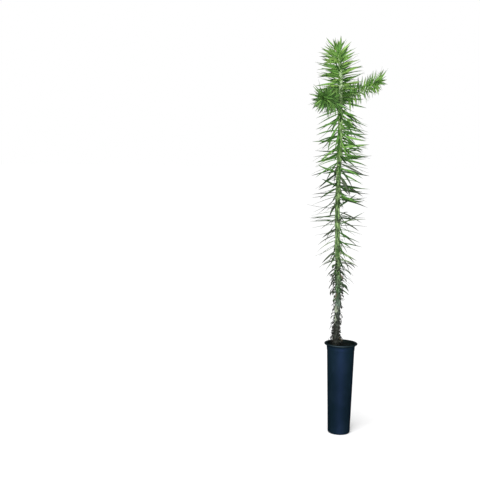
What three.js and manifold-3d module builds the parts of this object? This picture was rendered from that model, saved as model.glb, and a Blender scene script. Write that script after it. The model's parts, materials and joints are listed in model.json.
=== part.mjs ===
// Araucaria seedling in a tall tube pot, about 765 mm from the pot's foot to the topmost needle.
//
// Lengths are millimetres and angles are degrees. +Z is up, +X points to the long side shoot
// and +Y to the back of the plant. The origin is on the pot's axis, on its flat underside.

import * as THREE from 'three';
import { mergeVertices } from 'three/addons/utils/BufferGeometryUtils.js';
import Module from 'manifold-3d';

const wasm = await Module();
wasm.setup();

// Gap left between two solids that touch on the real plant
const CLEARANCE = 0.3;

// The pot: a tapering tube with a flared lip, a raised band under the flare and a flat floor.
// sides and curveSteps, here and below, are how finely a piece is faceted.
const POT = {
  height: 178,
  lipRadius: 32,
  lipThickness: 2.4,
  mouthRadius: 26.6,
  flareHeight: 8,
  bandHeight: 6,
  bandRelief: 0.5,
  footRadius: 21.5,
  footRound: 2.5,
  wall: 1.4,
  floor: 2,
  drainHoles: 4,
  drainRadius: 3.2,
  drainCircle: 11,
  drainSides: 12,
  sides: 36,
  curveSteps: 3,
};

// The potting mix, with a low mound where the stem comes out of it
const SOIL = {
  belowLip: 5,
  moundHeight: 5.5,
  moundFoot: 13.5,
  moundTop: 8,
  moundSlack: 1,
  sides: 30,
  curveSteps: 4,
};

// The stem, from its flat cut on the mound to its tip. Its skin is the layer of green leaf bases.
const STEM = {
  length: 563,
  footX: -9.8,
  lean: -3.5,
  sway: 3,
  swayTurns: 1.55,
  bow: 4,
  nod: 9.5,
  nodStart: 0.88,
  footRadius: 4.7,
  tipRadius: 2,
  taperPower: 6,
  rootFlare: 2,
  rootFlareHeight: 9,
  skin: 1.2,
  sides: 9,
  steps: 40,
};

// Needles along the stem. Each mass runs from one height above the soil to another, and each
// pair of values belongs to its lower and its upper end. leave is the angle at which a needle
// leaves the stem, over the level, and end is the angle of its tip.
const STEM_MASSES = [
  {
    name: 'needles_foot', from: 5, to: 84, steps: 5, count: 40, length: [15, 19],
    leave: [-15, -20], end: [-150, -125], width: 2.6, thickness: 0.7, colour: 0x5d5a4a,
  },
  {
    name: 'needles_withered', from: 85, to: 156, steps: 3, count: 36, length: [19, 31],
    leave: [-20, -16], end: [-108, -58], width: 3, thickness: 0.7, colour: 0x66705a,
  },
  {
    name: 'needles_lower', from: 157, to: 250, steps: 4, count: 40, length: [37, 51],
    leave: [-24, -12], end: [-40, -20], width: 3.6, thickness: 0.9, colour: 0x5a8040,
  },
  {
    name: 'needles_middle', from: 251, to: 350, steps: 4, count: 44, length: [52, 53],
    leave: [-12, -14], end: [-18, -24], width: 4.4, thickness: 0.9, colour: 0x548038,
  },
  {
    name: 'needles_upper', from: 351, to: 449, steps: 4, count: 46, length: [54, 46],
    leave: [-18, -30], end: [-28, -44], width: 4.4, thickness: 0.9, colour: 0x4f8236,
  },
  {
    name: 'needles_leader', from: 467, to: 531, steps: 4, count: 54, length: [41, 39],
    leave: [-12, 12], end: [-6, 16], width: 4.4, thickness: 0.9, colour: 0x5c943c,
  },
  {
    name: 'needles_tip', from: 532, to: 561, steps: 4, count: 36, length: [38, 26],
    leave: [10, 58], end: [14, 68], width: 4, thickness: 0.8, colour: 0x78a648,
  },
];

// Side shoots of the one whorl. height is above the soil, azimuth turns from +X towards +Y, reach
// is how far out the tip lies from the stem's axis and rise how far above the shoot's foot.
// The bough is the bare foot of a shoot.
const SHOOTS = [
  { name: 'right', height: 461, azimuth: 4, reach: 71, rise: 39, count: 54 },
  { name: 'front', height: 455, azimuth: -118, reach: 68, rise: 11, count: 54 },
  { name: 'rear', height: 457, azimuth: 104, reach: 52, rise: 12, count: 42 },
];
const SHOOT = {
  boughEnd: 12,
  footRadius: 2.4,
  tipRadius: 1.3,
  length: [30, 25],
  leave: [0, 46],
  end: [4, 34],
  width: 3.6,
  thickness: 0.8,
  sides: 6,
  steps: 4,
  boughSteps: 2,
  colour: 0x5d9a3a,
};

// How needles scatter about their rule. length is a share of the needle's own length, and height
// a share of the step from one needle to the next.
const GOLDEN_ANGLE = 137.508;
const SCATTER = { azimuth: 18, leave: 14, end: 18, length: 0.12, roll: 32, height: 0.4 };
const SEED = 20417;

// The blade that all needles share, at its root, its widest place and its point: where that is
// along the needle, and how wide and thick it is there. rootDepth is a share of the stem's skin.
const BLADE = {
  along: [0, 0.38, 1],
  width: [0.5, 1, 0],
  thickness: [1, 1, 0],
  rootDepth: 0.6,
};

// Finishes of the plain pieces, and how rough a needle is
const FINISHES = {
  pot: { color: 0x1b2a3c, roughness: 0.45 },
  soil: { color: 0x2c2520, roughness: 0.95 },
  bark: { color: 0x69814f, roughness: 0.7 },
};
const NEEDLE_ROUGHNESS = 0.55;

// Small helpers

const radians = THREE.MathUtils.degToRad;
const mix = THREE.MathUtils.lerp;
const RIGHT = new THREE.Vector3(1, 0, 0);
const UP = new THREE.Vector3(0, 0, 1);

// Repeatable random numbers from 0 to 1
function randomFrom(seed) {
  let state = seed;
  return () => {
    state = (state * 1664525 + 1013904223) % 4294967296;
    return state / 4294967296;
  };
}

// A closed geometry as a solid that can be joined and cut
function solidOf(geometry) {
  const bare = geometry.clone();
  bare.deleteAttribute('normal');
  bare.deleteAttribute('uv');
  const merged = mergeVertices(bare, 1e-4);
  return new wasm.Manifold(new wasm.Mesh({
    numProp: 3,
    vertProperties: merged.getAttribute('position').array,
    triVerts: new Uint32Array(merged.index.array),
  }));
}

// A solid as a geometry again
function geometryOf(solid) {
  const mesh = solid.getMesh();
  const geometry = new THREE.BufferGeometry();
  geometry.setAttribute('position', new THREE.BufferAttribute(mesh.vertProperties, 3));
  geometry.setIndex(new THREE.BufferAttribute(mesh.triVerts, 1));
  geometry.computeVertexNormals();
  return geometry;
}

// A profile of (radius, height) turned about the Z axis
function turned(profile, sides) {
  return new THREE.LatheGeometry(profile, sides).rotateX(Math.PI / 2);
}

// Pot

const flareStart = POT.height - POT.flareHeight;
const soilLevel = POT.height - SOIL.belowLip;

function potRadius(height) {
  return mix(POT.footRadius, POT.mouthRadius, height / flareStart);
}

function potSolid() {
  const bandFoot = flareStart - POT.bandHeight;
  const lipRound = POT.lipThickness / 2;
  const lipMiddle = POT.height - lipRound;
  const mouth = potRadius(flareStart);
  const outline = new THREE.Path();
  outline.moveTo(0, 0);
  outline.lineTo(POT.footRadius - POT.footRound, 0);
  outline.quadraticCurveTo(POT.footRadius, 0, potRadius(POT.footRound), POT.footRound);
  outline.lineTo(potRadius(bandFoot), bandFoot);
  outline.lineTo(potRadius(bandFoot) + POT.bandRelief, bandFoot + POT.bandRelief);
  outline.lineTo(mouth + POT.bandRelief, flareStart);
  outline.quadraticCurveTo(
    mouth + POT.bandRelief, POT.height - POT.lipThickness,
    POT.lipRadius - lipRound, POT.height - POT.lipThickness,
  );
  outline.absarc(POT.lipRadius - lipRound, lipMiddle, lipRound, -Math.PI / 2, Math.PI / 2);
  outline.lineTo(mouth + POT.wall, POT.height);
  outline.quadraticCurveTo(mouth - POT.wall, POT.height, mouth - POT.wall, flareStart);
  outline.lineTo(POT.footRadius - POT.wall, POT.floor);
  outline.lineTo(0, POT.floor);
  let pot = solidOf(turned(outline.getPoints(POT.curveSteps), POT.sides));
  for (let i = 0; i < POT.drainHoles; i++) {
    const angle = (i + 0.5) * 2 * Math.PI / POT.drainHoles;
    const hole = new THREE.CylinderGeometry(
      POT.drainRadius, POT.drainRadius, 3 * POT.floor, POT.drainSides,
    );
    hole.rotateX(Math.PI / 2);
    hole.translate(POT.drainCircle * Math.cos(angle), POT.drainCircle * Math.sin(angle), 0);
    pot = pot.subtract(solidOf(hole));
  }
  return pot;
}

// Potting mix

function soilSolid() {
  const inside = POT.wall + CLEARANCE;
  const fill = [
    new THREE.Vector2(0, POT.floor + CLEARANCE),
    new THREE.Vector2(POT.footRadius - inside, POT.floor + CLEARANCE),
    new THREE.Vector2(potRadius(flareStart) - inside, flareStart),
    new THREE.Vector2(potRadius(flareStart) - inside, soilLevel),
    new THREE.Vector2(0, soilLevel),
  ];
  const mound = new THREE.Path();
  mound.moveTo(0, soilLevel - SOIL.moundHeight);
  mound.lineTo(SOIL.moundFoot, soilLevel - SOIL.moundHeight);
  mound.lineTo(SOIL.moundFoot, soilLevel);
  mound.quadraticCurveTo(
    SOIL.moundTop, soilLevel + SOIL.moundSlack,
    SOIL.moundTop, soilLevel + SOIL.moundHeight,
  );
  mound.lineTo(0, soilLevel + SOIL.moundHeight);
  const heap = turned(mound.getPoints(SOIL.curveSteps), SOIL.sides).translate(STEM.footX, 0, 0);
  return solidOf(turned(fill, POT.sides)).add(solidOf(heap));
}

// Axes of the stem and the shoots. An axis gives its point and direction at a share of its length.

const stemFoot = soilLevel + SOIL.moundHeight + CLEARANCE;

const stemAxis = {
  length: STEM.length,
  point(t) {
    const sway = STEM.sway * Math.sin(2 * Math.PI * STEM.swayTurns * t) * (1 - t);
    const nod = STEM.nod * Math.max(0, (t - STEM.nodStart) / (1 - STEM.nodStart)) ** 2;
    return new THREE.Vector3(
      STEM.footX + STEM.lean * t + sway - nod,
      STEM.bow * Math.sin(Math.PI * t),
      stemFoot + STEM.length * t,
    );
  },
  radius(t) {
    const flare = STEM.rootFlare * Math.exp(-t * STEM.length / STEM.rootFlareHeight);
    return mix(STEM.footRadius, STEM.tipRadius, t ** STEM.taperPower) + flare;
  },
};

function shootAxis(shoot) {
  const foot = stemAxis.point(shoot.height / STEM.length);
  const along = new THREE.Vector3(
    shoot.reach * Math.cos(radians(shoot.azimuth)),
    shoot.reach * Math.sin(radians(shoot.azimuth)),
    shoot.rise,
  );
  return {
    length: along.length(),
    point: (t) => foot.clone().addScaledVector(along, t),
    radius: (t) => mix(SHOOT.footRadius, SHOOT.tipRadius, t),
  };
}

function directionAt(axis, t) {
  const step = 1e-3;
  return axis.point(t + step).sub(axis.point(t - step)).normalize();
}

// Two directions square to an axis: the first is near +X on the stem and near +Z on a shoot
function frameAt(axis, t) {
  const along = directionAt(axis, t);
  const across = axis === stemAxis ? RIGHT.clone() : UP.clone();
  across.addScaledVector(along, -across.dot(along)).normalize();
  return { along, across, beside: across.clone().cross(along) };
}

// Limbs: a cylinder's rings carried along an axis. grow is added to the axis's own radius.
function limbGeometry(axis, from, to, grow, sides, steps) {
  const geometry = new THREE.CylinderGeometry(1, 1, 1, sides, steps);
  const position = geometry.getAttribute('position');
  const local = new THREE.Vector3();
  for (let i = 0; i < position.count; i++) {
    local.fromBufferAttribute(position, i);
    const t = mix(from, to, local.y + 0.5);
    const { across, beside } = frameAt(axis, t);
    const radius = axis.radius(t) + grow;
    const placed = axis.point(t)
      .addScaledVector(across, local.x * radius)
      .addScaledVector(beside, local.z * radius);
    position.setXYZ(i, placed.x, placed.y, placed.z);
  }
  return geometry;
}

// The woody core of the stem, inside its green skin, with some room round it when asked. It
// starts a little under the soil, so that its foot can be cut off level there.
function stemSolid(room) {
  const grow = room - CLEARANCE - STEM.skin;
  const below = -1 / STEM.steps;
  return solidOf(limbGeometry(stemAxis, below, 1, grow, STEM.sides, STEM.steps));
}

// The bare foot of a shoot, cut clear of the stem
function boughSolid(shoot) {
  const axis = shootAxis(shoot);
  const start = stemAxis.radius(shoot.height / STEM.length) - STEM.skin;
  const bough = limbGeometry(
    axis, start / axis.length, SHOOT.boughEnd / axis.length, 0, SHOOT.sides, SHOOT.boughSteps,
  );
  return solidOf(bough).subtract(stemSolid(CLEARANCE));
}

// Needles

// The rule that deals out needles round an axis: golden-angle turns, with scatter
function* needleRule(mass, random) {
  const spread = (amount) => (2 * random() - 1) * amount;
  for (let i = 0; i < mass.count; i++) {
    const share = (i + 0.5 + spread(SCATTER.height)) / mass.count;
    yield {
      t: mix(mass.from, mass.to, share) / mass.axis.length,
      azimuth: i * GOLDEN_ANGLE + spread(SCATTER.azimuth),
      leave: mix(...mass.leave, share) + spread(SCATTER.leave),
      end: mix(...mass.end, share) + spread(SCATTER.end),
      length: mix(...mass.length, share) * (1 + spread(SCATTER.length)),
      roll: spread(SCATTER.roll),
      width: mass.width,
      thickness: mass.thickness,
    };
  }
}

// Where a needle is at a share of its length: it bends evenly from its leave to its end angle
function needleStation(needle, root, outward, along, share) {
  const leave = radians(needle.leave);
  const bend = radians(needle.end - needle.leave);
  const angle = leave + bend * share;
  const turn = Math.abs(bend) < 1e-3 ? 1e-3 : bend;
  const out = (Math.sin(leave + turn * share) - Math.sin(leave)) / turn * needle.length;
  const rise = (Math.cos(leave) - Math.cos(leave + turn * share)) / turn * needle.length;
  return {
    point: root.clone().addScaledVector(outward, out).addScaledVector(along, rise),
    tangent: outward.clone().multiplyScalar(Math.cos(angle)).addScaledVector(along, Math.sin(angle)),
    face: along.clone().multiplyScalar(Math.cos(angle)).addScaledVector(outward, -Math.sin(angle)),
  };
}

// Size of a triangle whose corners are on a circle of radius 1
const CORNER_SPAN = 2 * Math.sin(radians(60));
const CORNER_DEPTH = 1 + Math.cos(radians(60));

// A three-sided blade, flat above and keeled below. On a side shoot the needles hang plumb, so
// they are dealt out round the upward direction and not round the shoot.
function needleGeometry(needle, mass) {
  const { along, across, beside } = frameAt(mass.axis, needle.t);
  const turn = radians(needle.azimuth);
  const outward = (mass.hanging ? UP : across).clone()
    .multiplyScalar(Math.cos(turn))
    .addScaledVector(beside, Math.sin(turn));
  const depth = mass.hanging ? 0 : mass.axis.radius(needle.t) - BLADE.rootDepth * STEM.skin;
  const root = mass.axis.point(needle.t).addScaledVector(outward, depth);
  const geometry = new THREE.ConeGeometry(1, 1, 3, BLADE.along.length - 1);
  const position = geometry.getAttribute('position');
  const local = new THREE.Vector3();
  for (let i = 0; i < position.count; i++) {
    local.fromBufferAttribute(position, i);
    const coneRadius = 0.5 - local.y;
    const place = Math.round((1 - coneRadius) * (BLADE.along.length - 1));
    const station = needleStation(needle, root, outward, along, BLADE.along[place]);
    const face = station.face.applyAxisAngle(station.tangent, radians(needle.roll));
    const side = face.clone().cross(station.tangent);
    const corner = coneRadius > 0 ? local.divideScalar(coneRadius) : local;
    const placed = station.point
      .addScaledVector(side, corner.x * BLADE.width[place] * needle.width / CORNER_SPAN)
      .addScaledVector(face, -corner.z * BLADE.thickness[place] * needle.thickness / CORNER_DEPTH);
    position.setXYZ(i, placed.x, placed.y, placed.z);
  }
  return geometry;
}

// Joins a mass's needles to its own stem, leaving out each one that would touch another solid
function massSolid(mass, random, others) {
  let solid = mass.stem;
  for (const needle of needleRule(mass, random)) {
    const blade = solidOf(needleGeometry(needle, mass));
    const touches = others.some((other) => blade.minGap(other, CLEARANCE) < CLEARANCE);
    if (!touches) solid = solid.add(blade);
  }
  return mass.bore ? solid.subtract(mass.bore) : solid;
}

// A mass round the stem: its own stem is a sleeve of leaf bases, whose bore clears the woody core
function stemMass(mass) {
  const from = mass.from / STEM.length;
  const to = mass.to / STEM.length;
  const sleeve = solidOf(limbGeometry(stemAxis, from, to, 0, STEM.sides, mass.steps));
  const bore = stemSolid(CLEARANCE);
  return { ...mass, axis: stemAxis, stem: sleeve.subtract(bore), bore, hanging: false };
}

// A mass on a side shoot: its own stem carries the bough on
function shootMass(shoot) {
  const axis = shootAxis(shoot);
  const from = SHOOT.boughEnd + CLEARANCE;
  const stem = solidOf(limbGeometry(axis, from / axis.length, 1, 0, SHOOT.sides, SHOOT.steps));
  return {
    ...SHOOT, name: `shoot_${shoot.name}`, count: shoot.count, axis, stem, hanging: true,
    from: from + SHOOT.width / 2, to: axis.length,
  };
}

// Assembly

const seedling = new THREE.Group();
const solids = new Map();

function show(name, finish) {
  const material = new THREE.MeshStandardMaterial({ ...finish, metalness: 0 });
  const mesh = new THREE.Mesh(geometryOf(solids.get(name)), material);
  mesh.name = name;
  seedling.add(mesh);
}

solids.set('pot', potSolid());
solids.set('potting_soil', soilSolid());
solids.set('stem', stemSolid(0).trimByPlane(UP.toArray(), stemFoot));
for (const shoot of SHOOTS) solids.set(`bough_${shoot.name}`, boughSolid(shoot));
show('pot', FINISHES.pot);
show('potting_soil', FINISHES.soil);
show('stem', FINISHES.bark);
for (const shoot of SHOOTS) show(`bough_${shoot.name}`, FINISHES.bark);

// Every mass's own stem is in place before the first needle is tried
const masses = [...STEM_MASSES.map(stemMass), ...SHOOTS.map(shootMass)];
for (const mass of masses) solids.set(mass.name, mass.stem);
const random = randomFrom(SEED);
for (const mass of masses) {
  const others = [...solids].filter(([name]) => name !== mass.name).map(([, solid]) => solid);
  solids.set(mass.name, massSolid(mass, random, others));
  show(mass.name, { color: mass.colour, roughness: NEEDLE_ROUGHNESS });
}

export default seedling;
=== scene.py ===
"""Looks of the araucaria seedling in its tube pot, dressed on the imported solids.

Sizes below are millimetres and angles are degrees, in the frame of the solids: +Z is up, +X points
to the long side shoot, +Y to the back, and the origin is under the pot. Meshes are in metres.
"""

import json
import math

import bpy
import numpy as np
from mathutils import Matrix, Vector
from mathutils.noise import fractal


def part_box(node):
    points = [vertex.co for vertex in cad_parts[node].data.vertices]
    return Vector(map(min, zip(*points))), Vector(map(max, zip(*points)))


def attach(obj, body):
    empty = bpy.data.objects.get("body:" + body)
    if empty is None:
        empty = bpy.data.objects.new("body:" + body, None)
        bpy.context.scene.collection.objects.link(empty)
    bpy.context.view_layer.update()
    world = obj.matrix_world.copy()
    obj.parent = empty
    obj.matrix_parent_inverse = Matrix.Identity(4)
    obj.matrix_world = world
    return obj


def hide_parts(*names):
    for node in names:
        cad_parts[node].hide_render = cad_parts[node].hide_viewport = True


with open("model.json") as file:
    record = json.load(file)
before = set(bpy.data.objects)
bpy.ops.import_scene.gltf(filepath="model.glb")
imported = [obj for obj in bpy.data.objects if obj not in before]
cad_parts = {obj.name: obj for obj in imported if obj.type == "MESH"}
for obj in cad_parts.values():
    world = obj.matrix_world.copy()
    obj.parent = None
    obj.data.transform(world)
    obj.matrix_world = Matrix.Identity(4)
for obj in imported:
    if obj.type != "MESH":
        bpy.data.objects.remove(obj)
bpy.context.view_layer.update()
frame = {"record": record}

MM = 0.001
BODY = "root"

# Sizes that the solids give
POT_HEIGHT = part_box("pot")[1].z / MM
LIP_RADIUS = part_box("pot")[1].x / MM
STEM_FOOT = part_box("stem")[0].z / MM
MOUND_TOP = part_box("potting_soil")[1].z / MM

# Pot, as in the solids
FOOT_RADIUS = 21.5
FOOT_ROUND = 2.5
MOUTH_RADIUS = 26.6
FLARE_HEIGHT = 8
BAND_HEIGHT = 6
BAND_RELIEF = 0.5
LIP_THICKNESS = 2.4
WALL = 1.4
FLOOR = 2
DRAIN_HOLES = 4
DRAIN_RADIUS = 3.2
DRAIN_CIRCLE = 11

# The pot's mesh: how far the lip's underside and mouth stand out from the wall, and the radius and
# segments of each rounded edge
POT_SIDES = 128
DRAIN_SIDES = 32
UNDER_LIP_OUT = 1.2
LIP_INNER_OUT = 1.0
RING_TOLERANCE = 0.02
POT_EDGES = dict(
    foot=(FOOT_ROUND, 5), under_lip=(3.2, 6), lip_low=(1.1, 4), lip_high=(1.1, 4),
    lip_inner=(2.0, 5), under_band=(0.3, 2), band_edge=(0.25, 2),
)

# Its finishes. The lip's reaches LIP_DROP below the rim. A face that leans in by FACING_IN is inside
LIP_DROP = 3.4
FACING_IN = 0.3
POT_IOR = 1.95
POT_FINISHES = {
    # Each finish's high colour, where lighter than its low one, is painted light from above
    "pot_plastic": dict(low=(10, 27, 28), high=(14, 33, 36), film=(34, 51, 57),
                        sheen=(0.2, 0.3, 1.0), gloss=1.0, rough=(0.26, 0.42)),
    "pot_lip": dict(low=(13, 28, 29), high=(13, 28, 29), film=(24, 39, 39),
                    sheen=(0.5, 0.66, 0.86), gloss=0.4, rough=(0.44, 0.56)),
    # The inside's colours, darker than the outside's, are painted shade inside the pot
    "pot_inside_painted_shade": dict(low=(6, 13, 13), high=(7, 16, 15), film=(15, 24, 22),
                       sheen=(0.7, 0.9, 0.85), gloss=0.1, rough=(0.5, 0.66)),
}

# Soil, as in the solids
SOIL_BELOW_LIP = 5
MOUND_FOOT = 13.5
MOUND_HEAD = 8
SOIL_GAP = 0.3

# Its mesh, and the chips of bark and dropped needles on it
SOIL_SIDES = 96
SOIL_RINGS = 34
SOIL_SEED = 77111
CRUMBS = 620
CRUMB_SHAPE = (1.0, 0.62, 0.42)
CRUMB_SIZE = (0.35, 1.7)
CRUMB_SMALLNESS = 2.2
CRUMB_LIFT = 0.15
CRUMB_TIP = 0.7
CRUMB_WALL_GAP = 1.2
# The chips' dark colours are partly their own and partly painted shade inside the pot
CRUMB_COLOURS = dict(black=(11, 19, 18), brown=(18, 26, 24), grey=(27, 37, 36))
LITTER = 34
LITTER_AWAY = (6.5, 13.0)
LITTER_LENGTH = (5, 10)
LITTER_WIDTH = (1.0, 1.7)
LITTER_THICKNESS = 0.5
LITTER_LEAVE = -12
LITTER_END = -20
LITTER_SCATTER = dict(azimuth=80, leave=16, end=30, roll=60)
LITTER_LIFT = 1.2
LITTER_WALL_GAP = 1

# Stem, as in the solids
STEM_LENGTH = 563
STEM_X = -9.8
STEM_LEAN = -3.5
STEM_SWAY = 3
SWAY_TURNS = 1.55
STEM_BOW = 4
STEM_NOD = 9.5
NOD_START = 0.88
STEM_RADIUS = 4.7
TIP_RADIUS = 2
TAPER_POWER = 6
ROOT_FLARE = 2
ROOT_FLARE_HEIGHT = 9

# Bark: how far it goes down into the soil, the leaf cushions under the needles, the roughness that
# comes with age, and the knots with their lichen
STEM_SINK = 9
CUSHION_LEAD = 1.6
CUSHION_LEVEL = 0.7
CUSHION_HEAD = 6.0
CUSHION_NARROWING = 0.8
CUSHION_FALL = 0.55
STEM_CUSHIONS = dict(width=34, reach=17, relief=1.2)
SHOOT_CUSHIONS = dict(width=44, reach=8, relief=0.5)
ROUGH_SCALE = 1.7
ROUGH_STRETCH = 9
ROUGH_FRACTAL = (1.0, 2.0, 5)
OLD_BARK_HEIGHT = 60
OLD_ROUGHNESS = 0.8
YOUNG_ROUGHNESS = 0.12
LICHEN_RAGGED = 0.35
LICHEN_LEVEL = 0.3
LICHEN_CONTRAST = 3.0
KNOTS = [
    dict(height=65, azimuth=132, tall=8, wide=72, stand=2.2, lichen=1.0),
    dict(height=46, azimuth=158, tall=9, wide=48, stand=0.4, lichen=1.0),
    dict(height=34, azimuth=40, tall=7, wide=50, stand=0.9),
    dict(height=78, azimuth=310, tall=9, wide=60, stand=0.8, lichen=0.9),
    dict(height=163, azimuth=34, tall=6, wide=44, stand=1.5),
    dict(height=182, azimuth=24, tall=6, wide=44, stand=1.6),
    dict(height=118, azimuth=196, tall=6, wide=44, stand=1.0),
]
STEM_SIDES = 40
STEM_RINGS = 900

# Side shoots, as in the solids
SHOOTS = {
    "right": dict(height=461, azimuth=4, reach=71, rise=39, count=54),
    "front": dict(height=455, azimuth=-118, reach=68, rise=11, count=54),
    "rear": dict(height=457, azimuth=104, reach=52, rise=12, count=42),
}
BOUGH_START = 1.5
BOUGH_END = 12
SHOOT_GAP = 0.3
SHOOT_RADIUS = 2.4
SHOOT_TIP_RADIUS = 1.3
SHOOT_SIDES = 20
SHOOT_RINGS = 120
SHOOT_NEEDLES = dict(length=(30, 25), leave=(0, 46), end=(4, 34), width=3.6, thickness=0.8)

# Needles along the stem, by the same rule as in the solids
STEM_NEEDLES = {
    "needles_foot": dict(start=5, stop=84, count=40, length=(15, 19), leave=(-15, -20),
                         end=(-150, -125), width=2.6, thickness=0.7),
    "needles_withered": dict(start=85, stop=156, count=36, length=(19, 31), leave=(-20, -16),
                             end=(-108, -58), width=3, thickness=0.7),
    "needles_lower": dict(start=157, stop=250, count=40, length=(37, 51), leave=(-24, -12),
                          end=(-40, -20), width=3.6, thickness=0.9),
    "needles_middle": dict(start=251, stop=350, count=44, length=(52, 53), leave=(-12, -14),
                           end=(-18, -24), width=4.4, thickness=0.9),
    "needles_upper": dict(start=351, stop=449, count=46, length=(54, 46), leave=(-18, -30),
                          end=(-28, -44), width=4.4, thickness=0.9),
    "needles_leader": dict(start=467, stop=531, count=54, length=(41, 39), leave=(-12, 12),
                           end=(-6, 16), width=4.4, thickness=0.9),
    "needles_tip": dict(start=532, stop=561, count=36, length=(38, 26), leave=(10, 58),
                        end=(14, 68), width=4, thickness=0.8),
}
GOLDEN_ANGLE = 137.508
SCATTER = dict(azimuth=18, leave=14, end=18, length=0.12, roll=32, height=0.4)
SEED = 20417

# Dry needles: length and width as shares of what the rule gives, how late they hook, and how far
# they may tilt
DRY = {
    "needles_foot": dict(length=(0.35, 1.05), width=(0.6, 1.05), hook=(0.8, 2.4), tilt=40),
    "needles_withered": dict(length=(0.45, 1.15), width=(0.65, 1.1), hook=(1.0, 3.0), tilt=26),
}

# Seeds for what the scene adds to each mass: the finish of its needles and the finer ones
FILL_SEEDS = dict(
    needles_foot=1394, needles_withered=2105, needles_lower=3316, needles_middle=4158,
    needles_upper=5252, needles_leader=6252, needles_tip=7067,
    shoot_right=8310, shoot_front=9174, shoot_rear=10068,
)

# Finer needles that stand between those of the solids. Each entry says how it differs from its mass
SHORT_ON_LEADER = dict(
    start=462, length=(26, 22), leave=(-8, 18), end=(-6, 22), width=3.6,
    colours=dict(leaf=4, deep=2, bright=3),
)
SHOOT_BUD = dict(
    count=10, length=(6, 10), leave=(50, 84), end=(66, 90), width=2.0, colours=dict(bud=2, fresh=1),
)
SHOOT_TIP_COLOURS = dict(fresh=1, bright=4, leaf=3)
FILL = {
    "needles_foot": [
        dict(start=1, stop=44, count=100, length=(8, 9), leave=(-10, -30), end=(-100, -100)),
        dict(start=2, stop=74, count=70, length=(7, 10), leave=(-20, -30), end=(-140, -120), width=2.6),
        dict(start=8, stop=80, count=50, length=(17, 16), leave=(0, -10), end=(-140, -120), width=2.6,
             toward=180),
        dict(start=7, stop=15, count=18, length=(13, 15), leave=(-30, -40), end=(-66, -70), toward=0),
    ],
    "needles_withered": [
        dict(count=76, length=(9, 15), leave=(0, 0), end=(-130, -100), width=3.4,
             colours=dict(brown=1, shade=4, ash=1, dull=2, deep=1)),
        dict(count=24, length=(15, 19), leave=(-5, -10), end=(-140, -120), width=2.8, toward=180,
             colours=dict(brown=1, shade=4, ash=1, deep=2)),
        dict(start=98, count=28, length=(9, 12), leave=(-58, -58), end=(-98, -98), width=3.4,
             colours=dict(shade=4, deep=4, dull=2)),
        dict(start=104, count=16, length=(24, 36), leave=(-24, -16), end=(-62, -40), width=3.2, toward=0,
             dry=None, colours=dict(shade=3, dull=3, deep=1)),
    ],
    "needles_lower": [
        dict(count=14, length=(42, 54), toward=0, colours=dict(pale=2, dull=3, deep=1, shade=1)),
        dict(start=226, count=9, length=(52, 54), leave=(-8, -4), end=(-18, -14), toward=180,
             colours=dict(deep=4, dull=3, leaf=1)),
        dict(stop=210, count=16, length=(13, 9), leave=(0, -10), end=(-110, -90), width=3.2,
             dry=DRY["needles_withered"], colours=dict(brown=1, shade=4, deep=2, dull=1)),
    ],
    "needles_middle": [
        dict(start=330, count=11, toward=0),
        dict(start=276, stop=304, count=12, leave=(-14, -10), end=(-16, -12), width=4.8, toward=0,
             colours=dict(deep=4, shade=4, leaf=1)),
    ],
    "needles_upper": [dict(count=66, leave=(0, -16), end=(-6, -24), toward=0)],
    "needles_leader": [
        dict(start=470, stop=518, count=22, length=(42, 40), toward=0),
        dict(start=460, count=40, length=(44, 42), toward=180),
        dict(SHORT_ON_LEADER, count=42, toward=0),
        dict(SHORT_ON_LEADER, count=38, toward=180),
    ],
    "needles_tip": [
        dict(count=42, length=(28, 19), leave=(8, 50), end=(18, 62)),
        dict(stop=550, count=16, length=(39, 34), leave=(4, 24), end=(4, 28), toward=180),
        dict(start=550, stop=563, count=18, length=(7, 12), leave=(30, 84), end=(60, 90), width=2.2,
             colours=dict(bud=4, fresh=1)),
    ],
    "shoot_right": [
        dict(start=16, stop=40, count=18, length=(24, 24), leave=(0, 30), end=(-4, 14),
             colours=dict(leaf=6, deep=3)),
        dict(start=38, count=16, length=(30, 30), leave=(0, 30), end=(4, 24)),
        dict(start=50, count=30, length=(28, 24), leave=(10, 46), end=(4, 36),
             colours=SHOOT_TIP_COLOURS),
        dict(start=62, count=14, length=(27, 24), leave=(30, 62), end=(24, 56), toward=180,
             colours=dict(bright=4, leaf=3)),
        dict(start=48, count=22, length=(16, 13), leave=(20, 66), end=(24, 68), width=3.0,
             colours=dict(fresh=2, bright=4, leaf=2)),
        dict(SHOOT_BUD, start=68),
    ],
    "shoot_front": [
        dict(start=44, count=30, length=(32, 30), leave=(-8, 24), end=(-6, 16), toward=-130),
        dict(start=54, count=30, length=(27, 24), leave=(-4, 56), end=(-14, 44), toward=-130,
             colours=dict(bright=2, leaf=6, deep=2)),
        dict(start=42, count=56, length=(18, 17), leave=(6, 44), end=(4, 40), width=3.4, toward=-60,
             colours=dict(leaf=7, deep=1)),
        dict(start=58, count=56, length=(19, 14), leave=(20, 70), end=(24, 74), width=3.2,
             colours=dict(bright=1, leaf=7, deep=1)),
        dict(SHOOT_BUD, start=68, colours=dict(leaf=2, bright=1)),
    ],
    "shoot_rear": [
        dict(start=20, count=26, length=(35, 34), leave=(-8, 24), end=(-6, 16)),
        dict(start=34, count=26, length=(30, 22), leave=(-4, 50), end=(-14, 38),
             colours=SHOOT_TIP_COLOURS),
        dict(start=20, count=22, length=(17, 16), leave=(6, 44), end=(4, 40), width=3.2),
        dict(start=42, count=30, length=(19, 14), leave=(20, 74), end=(24, 78), width=3.0,
             colours=SHOOT_TIP_COLOURS),
        dict(SHOOT_BUD, start=52),
    ],
}

# A share of the long needles has been knocked up or down, by up to this angle
STRAYS = ("needles_lower", "needles_middle", "needles_upper")
STRAY_SHARE = 0.36
STRAY_ANGLE = 38

# How far, in radians, finer needles may swing to the side that their entry names
CROWDING = 0.75

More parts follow.
